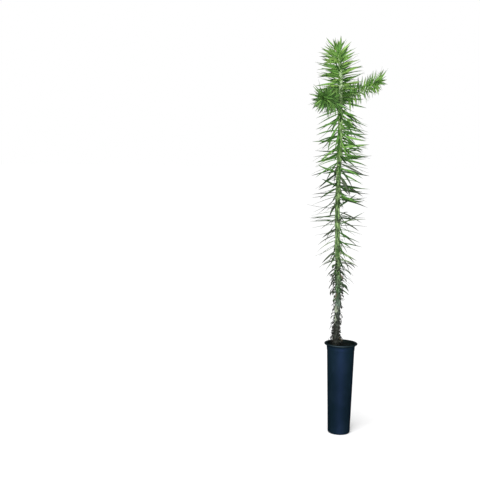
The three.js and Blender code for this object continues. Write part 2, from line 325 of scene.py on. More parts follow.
# A needle's section, channelled above and keeled below. Its outline: where it is widest, its width at
# the root as a share of that, and how bluntly it comes to its point. A blade twists by up to these
# degrees and drifts aside by up to these shares of its length
NEEDLE_SECTION = [(-0.5, 0.5), (-0.24, 0.2), (0.0, 0.08), (0.24, 0.2), (0.5, 0.5), (0.0, -0.5)]
NEEDLE_OUTLINES = {
    "green": dict(widest=0.38, root=0.5, point=1.8),
    "dry": dict(widest=0.66, root=0.42, point=2.6),
}
TWIST = dict(green=25, dry=100)
DRIFT = dict(green=0.1, dry=0.3)
ROOT_SINK = 0.8
THINNING = 0.8
POINT_WIDTH = 0.02
SPINE_START = 0.95
NEEDLE_STATIONS = [0.0, 0.12, 0.28, 0.45, 0.62, 0.79, SPINE_START, 1.0]
EXTRA_ROLL = 72
BLADE_WIDTH = (0.7, 1.16)
SLENDER_BLADE_WIDTH = (0.62, 0.98)
SLENDER = ("shoot_front", "shoot_rear")
LITTER_HABIT = dict(colours=dict(damp_and_shaded=1), widths=BLADE_WIDTH, dry=None, stray=0.0, toward=None)

# Base colours, red, green and blue from 0 to 255
COLOURS = {
    "bud": (160, 174, 84),
    "fresh": (142, 182, 92),
    "bright": (118, 162, 79),
    "leaf": (92, 138, 63),
    "deep": (61, 98, 44),
    "shade": (43, 67, 35),
    "pale": (114, 134, 95),
    "dull": (69, 80, 61),
    "ash": (67, 71, 66),
    "straw": (104, 96, 77),
    "brown": (42, 43, 37),
    # The dropped needles' near-black colour is partly their own and partly painted shade inside the pot
    "damp_and_shaded": (25, 28, 25),
    "spine": (118, 100, 68),
}
NEEDLE_END_SHADE = (150, 142, 156)

# Bark on the leaf cushions and between them: share of the stem's height, and colour there
# At 0.76 both lists turn paler: painted light, lifting the stem where the needles above shade it
BARK_RIDGES = [
    (0.0, (46, 50, 44)), (0.08, (68, 76, 66)), (0.12, (86, 102, 92)), (0.18, (114, 142, 108)),
    (0.3, (132, 158, 103)), (0.6, (138, 170, 106)), (0.76, (158, 190, 124)), (0.82, (140, 170, 108)),
    (0.87, (204, 226, 182)), (0.93, (184, 212, 156)), (1.0, (140, 180, 94)),
]
# The darker colours between the cushions are partly the bark's own and partly painted shade in the
# hollows
BARK_GROOVES = [
    (0.0, (24, 22, 20)), (0.08, (32, 33, 29)), (0.12, (38, 47, 43)), (0.18, (46, 66, 46)),
    (0.3, (56, 82, 44)), (0.6, (52, 82, 38)), (0.76, (64, 96, 46)), (0.82, (56, 86, 42)),
    (0.87, (96, 128, 74)), (0.93, (86, 118, 64)), (1.0, (70, 108, 46)),
]

# How the base colours are dealt out over the needles of a mass, as parts
SHARES = {
    "needles_foot": dict(brown=9, ash=2, straw=0.3),
    "needles_withered": dict(dull=4, shade=3, ash=3, brown=2, straw=0.5),
    "needles_lower": dict(deep=4, dull=5, shade=3, pale=1),
    "needles_middle": dict(leaf=3, deep=4, shade=4, dull=3),
    "needles_upper": dict(leaf=5, deep=3, bright=3, shade=1),
    "needles_leader": dict(leaf=4, bright=4, deep=1, fresh=3),
    "needles_tip": dict(bright=5, leaf=2, fresh=4, deep=1),
    "shoot": dict(bright=4, leaf=4, deep=1, fresh=2),
    "shoot_front": dict(leaf=6, bright=4, deep=2),
}


# Small helpers

def linear(colour):
    """A 0 to 255 screen colour as the linear colour that a shader takes."""
    return tuple(((c / 255 + 0.055) / 1.055) ** 2.4 if c > 10 else c / 255 / 12.92 for c in colour)


def shaded(colour, share):
    return tuple(min(255, c * share) for c in colour)


def mix(a, b, share):
    return a + (b - a) * share


def unit(vector):
    return vector / np.linalg.norm(vector)


class Random:
    """The repeatable numbers from 0 to 1 that the solids were grown with."""

    def __init__(self, seed):
        self.state = seed

    def next(self):
        self.state = (self.state * 1664525 + 1013904223) % 4294967296
        return self.state / 4294967296

    def spread(self, amount):
        return (2 * self.next() - 1) * amount

    def pick(self, shares):
        place = self.next() * sum(shares.values())
        for name, share in shares.items():
            place -= share
            if place < 0:
                return name
        return name


def start_editing(piece):
    bpy.context.view_layer.objects.active = piece
    piece.select_set(True)
    bpy.ops.object.mode_set(mode="EDIT")
    bpy.ops.mesh.select_mode(type="EDGE")
    bpy.ops.mesh.select_all(action="SELECT")


def stop_editing():
    """Turns the faces outward and leaves the edit mode."""
    bpy.ops.mesh.select_all(action="SELECT")
    bpy.ops.mesh.normals_make_consistent(inside=False)
    bpy.ops.object.mode_set(mode="OBJECT")


def disc(name, sides, radius, height=0.0):
    """A flat round face to draw a shape up from, in metres. Its object is at the origin."""
    bpy.ops.mesh.primitive_circle_add(vertices=sides, radius=radius, fill_type="NGON")
    piece = bpy.context.object
    piece.name = name
    for vertex in piece.data.vertices:
        vertex.co.z = height
    return piece


def take_apart(piece):
    """The points and faces of a piece, which is then removed."""
    points = np.array([vertex.co for vertex in piece.data.vertices])
    faces = [tuple(polygon.vertices) for polygon in piece.data.polygons]
    bpy.data.objects.remove(piece)
    return points, faces


def add_object(name, data):
    made = bpy.data.objects.new(name, data)
    bpy.context.scene.collection.objects.link(made)
    return made


def apply_modifiers(piece):
    bpy.context.view_layer.objects.active = piece
    for modifier in list(piece.modifiers):
        bpy.ops.object.modifier_apply(modifier=modifier.name)


def smooth(piece, angle):
    bpy.ops.object.select_all(action="DESELECT")
    piece.select_set(True)
    bpy.context.view_layer.objects.active = piece
    bpy.ops.object.shade_smooth_by_angle(angle=math.radians(angle))


def dress(piece, slot, nodes, finish=None):
    """Gives a piece its body and, if it has one, its finish, and hides the solids of the nodes that it
    stands for. slot is not used.
    """
    if finish:
        piece.data.materials.append(finish)
    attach(piece, BODY)
    if nodes:
        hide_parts(*nodes)
    return piece


# Materials

def material(name):
    """A new material with its node tree, its main shader and the texture coordinates."""
    made = bpy.data.materials.new(name)
    made.use_nodes = True
    nodes = made.node_tree.nodes
    shader = nodes["Principled BSDF"]
    place = nodes.new("ShaderNodeTexCoord").outputs
    return made, made.node_tree, shader, place


def linked_node(tree, kind, source, socket="Vector"):
    """A new node with one of its inputs linked."""
    node = tree.nodes.new("ShaderNode" + kind)
    tree.links.new(source, node.inputs[socket])
    return node


def component(tree, vector, axis):
    return linked_node(tree, "SeparateXYZ", vector).outputs[axis]


def mesh_mark(tree, name):
    """A mark that each point of the mesh carries."""
    node = tree.nodes.new("ShaderNodeAttribute")
    node.attribute_name = name
    return node.outputs["Fac"]


def noise(tree, vector, scale, detail=4.0, roughness=0.55):
    node = linked_node(tree, "TexNoise", vector)
    node.inputs["Scale"].default_value = scale
    node.inputs["Detail"].default_value = detail
    node.inputs["Roughness"].default_value = roughness
    return node.outputs["Fac"]


def ramp(tree, value, *stops):
    """A colour ramp. Each stop is a place from 0 to 1 and a screen colour."""
    node = linked_node(tree, "ValToRGB", value, "Fac")
    elements = node.color_ramp.elements
    while len(elements) < len(stops):
        elements.new(1.0)
    for element, (place, colour) in zip(elements, stops):
        element.position = place
        element.color = (*linear(colour), 1.0)
    return node.outputs["Color"]


def to_range(tree, value, low, high, from_low=0.0, from_high=1.0):
    node = linked_node(tree, "MapRange", value, "Value")
    node.inputs["From Min"].default_value = from_low
    node.inputs["From Max"].default_value = from_high
    node.inputs["To Min"].default_value = low
    node.inputs["To Max"].default_value = high
    return node.outputs["Result"]


def blend_colours(tree, share, first, second, mode="MIX"):
    node = tree.nodes.new("ShaderNodeMix")
    node.data_type = "RGBA"
    node.blend_type = mode
    tree.links.new(share, node.inputs[0])
    tree.links.new(first, node.inputs[6])
    tree.links.new(second, node.inputs[7])
    return node.outputs[2]


def bump(tree, shader, height, distance, strength=0.6):
    node = linked_node(tree, "Bump", height, "Height")
    node.inputs["Strength"].default_value = strength
    node.inputs["Distance"].default_value = distance
    tree.links.new(node.outputs["Normal"], shader.inputs["Normal"])


def needle_material(name, colour):
    """Leathery blade: one plain colour, faintly mottled, with fine paler lines and a dull end."""
    made, tree, shader, place = material("needle_" + name)
    mottle = noise(tree, place["Object"], 240)
    lines = linked_node(tree, "TexWave", place["UV"])
    lines.inputs["Scale"].default_value = 2.2
    lines.inputs["Distortion"].default_value = 0.4
    between = ramp(tree, mottle, (0.3, shaded(colour, 0.84)), (0.7, shaded(colour, 1.04)))
    on_line = ramp(tree, mottle, (0.3, shaded(colour, 0.92)), (0.7, shaded(colour, 1.14)))
    lined = blend_colours(tree, lines.outputs["Fac"], between, on_line)
    along = component(tree, place["UV"], "Y")
    worn = ramp(tree, along, (0.3, (255, 255, 255)), (0.95, NEEDLE_END_SHADE))
    dulled = blend_colours(tree, along, lined, worn, "MULTIPLY")
    tree.links.new(dulled, shader.inputs["Base Color"])
    tree.links.new(to_range(tree, mottle, 0.4, 0.58), shader.inputs["Roughness"])
    shader.inputs["Specular IOR Level"].default_value = 0.3
    bump(tree, shader, lines.outputs["Fac"], 0.00008, 0.5)
    return made


def bark_material(foot_z, top_z):
    """Green bark: grey and brown at the foot, paler on the leaf cushions than between them, where the
    darker colour is partly the bark's own and partly painted shade in the hollows. A paler band high up
    is painted light.
    """
    made, tree, shader, place = material("green_bark")
    height = to_range(tree, component(tree, place["Object"], "Z"), 0.0, 1.0, foot_z, top_z)
    ridges = ramp(tree, height, *BARK_RIDGES)
    grooves = ramp(tree, height, *BARK_GROOVES)
    # Partly painted shade: darker between the cushions than on them
    colour = blend_colours(tree, mesh_mark(tree, "cushion"), grooves, ridges)
    patches = noise(tree, place["Object"], 90, 6.0, 0.65)
    stain = ramp(tree, patches, (0.4, (96, 106, 90)), (0.56, (255, 255, 255)))
    share = to_range(tree, height, 1.0, 0.6)
    stained = blend_colours(tree, share, colour, stain, "MULTIPLY")
    crust = noise(tree, place["Object"], 420, 5.0, 0.7)
    pale = ramp(tree, crust, (0.32, (94, 104, 88)), (0.68, (152, 162, 140)))
    crusted = blend_colours(tree, mesh_mark(tree, "lichen"), stained, pale)
    tree.links.new(crusted, shader.inputs["Base Color"])
    tree.links.new(to_range(tree, patches, 0.5, 0.78), shader.inputs["Roughness"])
    shader.inputs["Specular IOR Level"].default_value = 0.25
    grain = noise(tree, place["Object"], 900, 3.0)
    bump(tree, shader, grain, 0.00025, 0.5)
    return made


def pot_material(name, low, high, film, sheen, gloss, rough):
    """Moulded polyethylene, satin, with dust and fine scuffs. It goes from one colour at the foot to
    another under the lip; where that one is lighter, the change is painted light from above. film is the
    colour that has dried on it in patches."""
    made, tree, shader, place = material(name)
    up = component(tree, place["Object"], "Z")
    height = to_range(tree, up, 0.0, 1.0, 0.0, POT_HEIGHT * MM)
    # Painted light: where high is lighter than low, the pot grows lighter towards the lip, as if lit
    # from above
    body = ramp(tree, height, (0.0, low), (0.5, low), (0.93, high))
    cloud = noise(tree, place["Object"], 26, 5.0, 0.6)
    patches = to_range(tree, cloud, 0.0, 0.6, 0.45, 0.75)
    stretch = linked_node(tree, "Mapping", place["Object"])
    stretch.inputs["Scale"].default_value = (1.0, 1.0, 0.12)
    scuffs = noise(tree, stretch.outputs["Vector"], 420, 3.0, 0.7)
    filmed = blend_colours(tree, patches, body, ramp(tree, scuffs, (0.2, low), (0.8, film)))
    dust = noise(tree, place["Object"], 700, 2.0, 0.8)
    specks = to_range(tree, dust, 0.0, 0.35, 0.7, 0.8)
    grit = ramp(tree, dust, (0.0, (70, 70, 66)), (1.0, (98, 95, 88)))
    dusty = blend_colours(tree, specks, filmed, grit)
    tree.links.new(dusty, shader.inputs["Base Color"])
    tree.links.new(to_range(tree, cloud, *rough), shader.inputs["Roughness"])
    shader.inputs["Specular IOR Level"].default_value = gloss
    shader.inputs["IOR"].default_value = POT_IOR
    shader.inputs["Specular Tint"].default_value = (*sheen, 1.0)
    bump(tree, shader, scuffs, 0.00008, 0.35)
    return made


def soil_material():
    """Bark compost, near black with a green tint, partly its own moist colour and partly painted shade
    inside the pot, with lighter fibres and grit.
    """
    made, tree, shader, place = material("potting_mix")
    lumps = noise(tree, place["Object"], 260, 8.0, 0.7)
    # Partly painted shade: the compost is darkened like the pot's shaded inside
    colour = ramp(
        tree, lumps, (0.3, (9, 14, 13)), (0.5, (13, 21, 20)), (0.66, (19, 29, 28)), (0.78, (30, 39, 38)),
    )
    tree.links.new(colour, shader.inputs["Base Color"])
    tree.links.new(to_range(tree, lumps, 0.98, 0.8), shader.inputs["Roughness"])
    shader.inputs["Specular IOR Level"].default_value = 0.15
    bump(tree, shader, lumps, 0.0012, 0.9)
    return made


def crumb_material(name, colour):
    """A chip of bark, darker in its pores."""
    made, tree, shader, place = material("crumb_" + name)
    grain = noise(tree, place["Object"], 700, 5.0)
    porous = ramp(tree, grain, (0.35, shaded(colour, 0.6)), (0.7, colour))
    tree.links.new(porous, shader.inputs["Base Color"])
    shader.inputs["Roughness"].default_value = 0.9
    shader.inputs["Specular IOR Level"].default_value = 0.15
    bump(tree, shader, grain, 0.0004, 0.8)
    return made


# Axes of the stem and the shoots, by the rule of the solids, in millimetres

class StemAxis:
    """The stem's middle, from the soil at 0 to the tip at 1."""
    length = STEM_LENGTH
    hanging = False

    def point(self, t):
        sway = STEM_SWAY * math.sin(2 * math.pi * SWAY_TURNS * t) * (1 - t)
        nod = STEM_NOD * max(0.0, (t - NOD_START) / (1 - NOD_START)) ** 2
        return np.array([
            STEM_X + STEM_LEAN * t + sway - nod,
            STEM_BOW * math.sin(math.pi * t),
            STEM_FOOT + STEM_LENGTH * t,
        ])

    def radius(self, t):
        flare = ROOT_FLARE * math.exp(-max(t, 0.0) * STEM_LENGTH / ROOT_FLARE_HEIGHT)
        return mix(STEM_RADIUS, TIP_RADIUS, t ** TAPER_POWER) + flare


class ShootAxis:
    """A side shoot's middle, from the stem at 0 to its end at 1. It hangs out from the stem, so the
    turns of its needles start from straight up."""
    hanging = True

    def __init__(self, stem, shoot):
        turn = math.radians(shoot["azimuth"])
        self.foot = stem.point(shoot["height"] / STEM_LENGTH)
        self.along = np.array([
            shoot["reach"] * math.cos(turn), shoot["reach"] * math.sin(turn), shoot["rise"],
        ])
        self.length = float(np.linalg.norm(self.along))

    def point(self, t):
        return self.foot + self.along * t

    def radius(self, t):
        return mix(SHOOT_RADIUS, SHOOT_TIP_RADIUS, t)


UP = np.array([0.0, 0.0, 1.0])
RIGHT = np.array([1.0, 0.0, 0.0])


def frame_at(axis, t):
    """The axis's direction and two directions square to it, as in the solids."""
    step = 1e-3
    along = unit(axis.point(t + step) - axis.point(t - step))
    across = UP if axis.hanging else RIGHT
    across = unit(across - along * np.dot(across, along))
    return along, across, np.cross(across, along)


# Needles

def needle_rule(mass, axis, random):
    """The rule of the solids: golden-angle turns up the axis, with scatter."""
    for i in range(mass["count"]):
        share = (i + 0.5 + random.spread(SCATTER["height"])) / mass["count"]
        yield dict(
            t=mix(mass["start"], mass["stop"], share) / axis.length,
            azimuth=i * GOLDEN_ANGLE + random.spread(SCATTER["azimuth"]),
            leave=mix(*mass["leave"], share) + random.spread(SCATTER["leave"]),
            end=mix(*mass["end"], share) + random.spread(SCATTER["end"]),
            length=mix(*mass["length"], share) * (1 + random.spread(SCATTER["length"])),
            roll=random.spread(SCATTER["roll"]),
            width=mass["width"],
            thickness=mass["thickness"],
        )


def finish_needle(needle, habit, random):
    """What a needle has beyond the rule: its colour, and how it rolls, strays and withers."""
    dry = habit["dry"]
    needle["colour"] = random.pick(habit["colours"])
    needle["tip_colour"] = needle["colour"] if dry else "spine"
    needle["outline"] = "dry" if dry else "green"
    if habit["toward"] is not None:
        away = math.radians(needle["azimuth"] - habit["toward"])
        needle["azimuth"] -= math.degrees(CROWDING * math.sin(away))
    needle["width"] *= mix(*habit["widths"], random.next())
    needle["roll"] += random.spread(EXTRA_ROLL)
    needle["twist"] = random.spread(TWIST[needle["outline"]])
    needle["drift"] = random.spread(DRIFT[needle["outline"]])
    needle["hook"] = 1.0
    tilt = random.spread(STRAY_ANGLE)
    if random.next() < habit["stray"]:
        needle["leave"] += tilt
        needle["end"] += tilt
    if dry:
        needle["length"] *= mix(*dry["length"], random.next())
        needle["width"] *= mix(*dry["width"], random.next())
        needle["hook"] = mix(*dry["hook"], random.next())
        needle["leave"] += random.spread(dry["tilt"])
        needle["end"] += random.spread(dry["tilt"])
    return needle


def needles_of(name, mass, axis, random):
    """All the needles of a mass: those of the solids first, then the finer ones between them."""
    extra = Random(FILL_SEEDS[name])
    habit = dict(
        mass,
        colours=SHARES.get(name, SHARES["shoot"]),
        widths=SLENDER_BLADE_WIDTH if name in SLENDER else BLADE_WIDTH,
        dry=DRY.get(name),
        stray=STRAY_SHARE if name in STRAYS else 0.0,
        toward=None,
    )
    needles = [finish_needle(n, habit, extra) for n in needle_rule(habit, axis, random)]
    for difference in FILL[name]:
        between = dict(habit, **difference)
        needles += [finish_needle(n, between, extra) for n in needle_rule(between, axis, extra)]
    return needles


def blade_width(share, widest, root, point):
    """How wide a blade is at a share of its length, as a share of its greatest width."""
    if share < widest:
        return mix(root, 1.0, math.sin(math.pi / 2 * share / widest))
    return 1.0 - ((share - widest) / (1.0 - widest)) ** point


def model_blade(outline):
    """One needle, modelled along +Y with length, width and thickness 1: its points, its faces and how
    far along it each face is."""
    blade = disc("blade", len(NEEDLE_SECTION), 0.5)
    for vertex, (x, z) in zip(blade.data.vertices, NEEDLE_SECTION):
        vertex.co = (x, 0.0, z)
    start_editing(blade)
    bpy.ops.transform.resize(value=(blade_width(0.0, **outline), 1, 1), center_override=(0, 0, 0))
    for before, after in zip(NEEDLE_STATIONS, NEEDLE_STATIONS[1:]):
        bpy.ops.mesh.extrude_edges_move(TRANSFORM_OT_translate={"value": (0, after - before, 0)})
        wider = max(blade_width(after, **outline), POINT_WIDTH) / blade_width(before, **outline)
        thicker = (1.0 - THINNING * after) / (1.0 - THINNING * before)
        bpy.ops.transform.resize(value=(wider, 1, thicker), center_override=(0, after, 0))
    bpy.ops.mesh.merge(type="CENTER")
    stop_editing()
    points, faces = take_apart(blade)
    return points, faces, [points[list(face), 1].mean() for face in faces]


def needle_points(blade, needle, axis):
    """The blade's points bent along one needle."""
    along, across, beside = frame_at(axis, needle["t"])
    turn = math.radians(needle["azimuth"])
    outward = (UP if axis.hanging else across) * math.cos(turn) + beside * math.sin(turn)
    root = axis.point(needle["t"]) + outward * (axis.radius(needle["t"]) - ROOT_SINK)
    levels, level_of = np.unique(blade[:, 1], return_inverse=True)
    bend = needle["end"] - needle["leave"]
    angle = np.radians(needle["leave"] + bend * levels ** needle["hook"])
    middle = (angle[1:] + angle[:-1]) / 2
    steps = np.diff(levels) * needle["length"]
    out = np.concatenate([[0.0], np.cumsum(np.cos(middle) * steps)])
    rise = np.concatenate([[0.0], np.cumsum(np.sin(middle) * steps)])
    aside = needle["drift"] * levels ** 2 * needle["length"]
    beside_needle = np.cross(along, outward)
    centre = root + np.outer(out, outward) + np.outer(rise, along) + np.outer(aside, beside_needle)
    tangent = np.outer(np.cos(angle), outward) + np.outer(np.sin(angle), along)
    face = np.outer(np.cos(angle), along) - np.outer(np.sin(angle), outward)
    side = np.cross(face, tangent)
    roll = np.radians(needle["roll"] + needle["twist"] * levels)[:, None]
    turned_side = side * np.cos(roll) - face * np.sin(roll)
    turned_face = face * np.cos(roll) + side * np.sin(roll)
    across_blade = turned_side[level_of] * (blade[:, 0:1] * needle["width"])
    through_blade = turned_face[level_of] * (blade[:, 2:3] * needle["thickness"])
    return centre[level_of] + across_blade + through_blade


def joined_mesh(name, points, faces, materials, slots, uvs=None):
    """A piece made of many small shapes. points are millimetres, slots one number for each face."""
    mesh = bpy.data.meshes.new(name)
    mesh.from_pydata((points * MM).tolist(), [], faces)
    for finish in materials:
        mesh.materials.append(finish)
    mesh.polygons.foreach_set("material_index", slots)
    if uvs is not None:
        layer = mesh.uv_layers.new(name="along")
        corners = np.empty(len(mesh.loops), dtype=np.int32)
        mesh.loops.foreach_get("vertex_index", corners)
        layer.data.foreach_set("uv", uvs[corners].ravel())
    mesh.validate()
    piece = add_object(name, mesh)
    smooth(piece, angle=30)
    return piece


def grow(name, groups, blades, greens):
    """Joins needles into one piece. groups are pairs of a needle and the axis that it stands on."""
    slots = list(greens)
    points, faces, face_slots, uvs = [], [], [], []
    first = 0
    for needle, axis in groups:
        blade_points, blade_faces, places = blades[needle["outline"]]
        body, tip = slots.index(needle["colour"]), slots.index(needle["tip_colour"])
        points.append(needle_points(blade_points, needle, axis))
        uvs.append(blade_points[:, :2] + (0.5, 0.0))
        faces += [tuple(first + v for v in face) for face in blade_faces]
        face_slots += [tip if place > SPINE_START else body for place in places]
        first += len(blade_points)
    return joined_mesh(name, np.vstack(points), faces, greens.values(), face_slots, np.vstack(uvs))


# Stem and boughs

def tube(name, axis, start, stop, sides, rings, relief):
    """A grid rolled round an axis. relief gives how far each point stands out, in millimetres, and
    marks that the bark's finish reads, from 0 to 1."""
    bpy.ops.mesh.primitive_grid_add(x_subdivisions=sides, y_subdivisions=rings, size=1)
    piece = bpy.context.object
    piece.name = name
    piece.data.name = name
    flat = np.array([vertex.co[:] for vertex in piece.data.vertices])
    turn = (flat[:, 0] + 0.5) * 2 * math.pi
    t = mix(start, stop, flat[:, 1] + 0.5)
    stand_out, marks = relief(turn, t)
    levels, level_of = np.unique(t, return_inverse=True)
    places = np.array([axis.point(level) for level in levels])
    frames = [frame_at(axis, level) for level in levels]
    across = np.array([f[1] for f in frames])
    beside = np.array([f[2] for f in frames])
    radius = np.array([axis.radius(level) for level in levels])[level_of] + stand_out
    outward = across[level_of] * np.cos(turn)[:, None] + beside[level_of] * np.sin(turn)[:, None]
    points = (places[level_of] + outward * radius[:, None]) * MM
    piece.data.vertices.foreach_set("co", points.ravel())
    for mark, amount in marks.items():
        attribute = piece.data.attributes.new(mark, "FLOAT", "POINT")
        attribute.data.foreach_set("value", amount.astype(np.float32))
    start_editing(piece)
    bpy.ops.mesh.remove_doubles(threshold=1e-6)
    bpy.ops.mesh.fill_holes(sides=0)
    stop_editing()
    smooth(piece, angle=60)
    return piece


def cushions(axis, needles, turn, height, width, reach, relief):
    """Leaf cushions: under each needle a ridge that narrows as it runs down the axis. reach is how
    far it runs in millimetres, and width is half its width at the needle in degrees. The result is
    where they are, from 0 to 1, and how far the bark stands out with them."""
    cushion = np.zeros_like(height)
    for needle in needles:
        down = (needle["t"] * axis.length + CUSHION_LEAD - height) / reach
        near = (down > 0.0) & (down < 1.0)
        down = down[near]
        head = np.minimum(1.0, CUSHION_HEAD * down) ** 0.5
        half = math.radians(width) * head * (1.0 - down) ** CUSHION_NARROWING
        away = swing(turn[near], needle["azimuth"]) / np.maximum(half, 1e-3)
        shape = np.sqrt(np.clip(1.0 - away ** 2, 0.0, 1.0)) * (1.0 - CUSHION_FALL * down)
        cushion[near] = np.maximum(cushion[near], shape)
    return cushion, (cushion - CUSHION_LEVEL) * relief


def swing(turn, azimuth):
    """How far round the axis each point is from an azimuth, in radians."""
    away = turn - math.radians(azimuth)
    return np.abs((away + math.pi) % (2 * math.pi) - math.pi)


def stem_relief(axis, needles):
    """The stem's cushions, the knots near its foot and the rough old bark there."""
    def relief(turn, t):
        height = t * axis.length
        cushion, stand_out = cushions(axis, needles, turn, height, **STEM_CUSHIONS)
        lichen = np.zeros_like(t)
        for knot in KNOTS:
            away = swing(turn, knot["azimuth"]) / math.radians(knot["wide"])
            lump = np.exp(-away ** 2 - ((height - knot["height"]) / knot["tall"]) ** 2)
            stand_out += lump * knot["stand"]
            lichen = np.maximum(lichen, lump * knot.get("lichen", 0.0))
        around = np.column_stack([np.cos(turn), np.sin(turn), height / ROUGH_STRETCH])
        rough = np.array([fractal(p, *ROUGH_FRACTAL) for p in around * ROUGH_SCALE])
        age = np.exp(-np.maximum(height, 0.0) / OLD_BARK_HEIGHT)
        stand_out += rough * mix(YOUNG_ROUGHNESS, OLD_ROUGHNESS, age)
        ragged = lichen + LICHEN_RAGGED * rough - LICHEN_LEVEL
        lichen = np.clip(ragged * LICHEN_CONTRAST, 0.0, 1.0)
        return stand_out, dict(cushion=cushion, lichen=lichen)
    return relief


def shoot_relief(axis, needles):
    """A shoot's own, smaller cushions."""
    def relief(turn, t):
        cushion, stand_out = cushions(axis, needles, turn, t * axis.length, **SHOOT_CUSHIONS)
        return stand_out, dict(cushion=cushion, lichen=np.zeros_like(t))
    return relief


# Pot

def select_ring(piece, radius, height):
    """Selects the loop of edges at one radius and height, in millimetres."""
    bpy.ops.mesh.select_all(action="DESELECT")
    bpy.ops.object.mode_set(mode="OBJECT")
    for edge in piece.data.edges:
        ends = [piece.data.vertices[v].co for v in edge.vertices]
        edge.select = all(
            abs(math.hypot(p.x, p.y) / MM - radius) < RING_TOLERANCE
            and abs(p.z / MM - height) < RING_TOLERANCE
            for p in ends
        )
    bpy.ops.object.mode_set(mode="EDIT")


def extrude_rings(profile):
    """Carries the selected ring on through a profile of radii and heights in millimetres."""
    for before, after in zip(profile, profile[1:]):
        lift = (after[1] - before[1]) * MM
        widen = after[0] / before[0]
        bpy.ops.mesh.extrude_edges_move(TRANSFORM_OT_translate={"value": (0, 0, lift)})
        bpy.ops.transform.resize(value=(widen, widen, 1), center_override=(0, 0, 0))


def pot_wall(height):
    """The wall's outer radius at a height under the flare."""
    return mix(FOOT_RADIUS, MOUTH_RADIUS, height / (POT_HEIGHT - FLARE_HEIGHT))


def pot_rings():
    """The radius and height of each ring of the pot, in millimetres: from its foot up to the lip, over
    it and down inside to the floor."""
    flare = POT_HEIGHT - FLARE_HEIGHT
    band = flare - BAND_HEIGHT
    lip = POT_HEIGHT - LIP_THICKNESS
    neck = MOUTH_RADIUS + BAND_RELIEF
    throat = MOUTH_RADIUS - WALL
    return dict(
        foot=(FOOT_RADIUS, 0),
        under_band=(pot_wall(band), band),
        band_edge=(pot_wall(band) + BAND_RELIEF, band + BAND_RELIEF),
        neck=(neck, flare),
        under_lip=(neck + UNDER_LIP_OUT, lip),
        lip_low=(LIP_RADIUS, lip),
        lip_high=(LIP_RADIUS, POT_HEIGHT),
        lip_inner=(throat + LIP_INNER_OUT, POT_HEIGHT),
        throat=(throat, flare),
        inner_floor=(FOOT_RADIUS - WALL, FLOOR),
    )


def drill_drains(pot):
    for i in range(DRAIN_HOLES):
        turn = (i + 0.5) * 2 * math.pi / DRAIN_HOLES
        centre = (DRAIN_CIRCLE * MM * math.cos(turn), DRAIN_CIRCLE * MM * math.sin(turn), 0)
        bpy.ops.mesh.primitive_cylinder_add(
            vertices=DRAIN_SIDES, radius=DRAIN_RADIUS * MM, depth=3 * FLOOR * MM, location=centre,
        )
        drill = bpy.context.object
        cut = pot.modifiers.new("drain", "BOOLEAN")
        cut.operation = "DIFFERENCE"
        cut.object = drill
        apply_modifiers(pot)
        bpy.data.objects.remove(drill)


def model_pot():
    """The tube, drawn up from its foot ring by ring, with its edges rounded and its floor drilled."""
    rings = pot_rings()
    pot = disc("tube_pot", POT_SIDES, FOOT_RADIUS * MM)
    start_editing(pot)
    extrude_rings(list(rings.values()))
    bpy.ops.mesh.edge_face_add()
    for name, (size, segments) in POT_EDGES.items():
        select_ring(pot, *rings[name])
        bpy.ops.mesh.bevel(offset=size * MM, offset_type="OFFSET", segments=segments, profile=0.5)
    stop_editing()
    drill_drains(pot)
    smooth(pot, angle=35)
    return pot


def finish_pot(pot):
    """Gives the lip and the faces that look into the pot their own finishes. The inside's is darker:
    painted shade.
    """
    slots = list(POT_FINISHES)
    for name, finish in POT_FINISHES.items():
        pot.data.materials.append(pot_material(name, **finish))
    for face in pot.data.polygons:
        inward = -face.center.xy.normalized().dot(face.normal.xy)
        if inward > FACING_IN and face.center.xy.length < (MOUTH_RADIUS + BAND_RELIEF) * MM:
            face.material_index = slots.index("pot_inside_painted_shade")
        elif face.center.z > (POT_HEIGHT - LIP_DROP) * MM:
            face.material_index = slots.index("pot_lip")


# Soil, crumbs and litter

def soil_height(x, y):
    """Where chips and dropped needles lie, in millimetres: as on the solid, level with a mound round
    the stem's foot."""
    level = POT_HEIGHT - SOIL_BELOW_LIP
    away = math.hypot(x - STEM_X, y)
    share = min(max((MOUND_FOOT - away) / (MOUND_FOOT - MOUND_HEAD), 0.0), 1.0)
    return level + (MOUND_TOP - level) * share * share * (3 - 2 * share)


def model_soil():
    """The compost: a plug that fills the pot up to a level, ringed top."""
    level = POT_HEIGHT - SOIL_BELOW_LIP
    edge = MOUTH_RADIUS - WALL - SOIL_GAP
    deep = FLOOR + SOIL_GAP
    foot = FOOT_RADIUS - WALL - SOIL_GAP
    soil = disc("compost", SOIL_SIDES, foot * MM, deep * MM)
    start_editing(soil)
    top = [(edge * (1 - i / SOIL_RINGS), level) for i in range(SOIL_RINGS)]
    extrude_rings([(foot, deep)] + top)
    bpy.ops.mesh.merge(type="CENTER")
    stop_editing()
    smooth(soil, angle=60)
    return soil


def model_crumb():
    """One angular chip of bark, as arrays of points and faces."""
    bpy.ops.mesh.primitive_ico_sphere_add(subdivisions=1, radius=1.0)
    chip = bpy.context.object
    start_editing(chip)
    bpy.ops.transform.resize(value=CRUMB_SHAPE, center_override=(0, 0, 0))
    bpy.ops.transform.vertex_random(offset=0.32, seed=5)
    stop_editing()
    return take_apart(chip)


def turn_matrix(random):
    yaw = Matrix.Rotation(random.next() * 2 * math.pi, 3, "Z")
    tip = Matrix.Rotation(random.spread(CRUMB_TIP), 3, "X")
    return np.array(yaw @ tip)


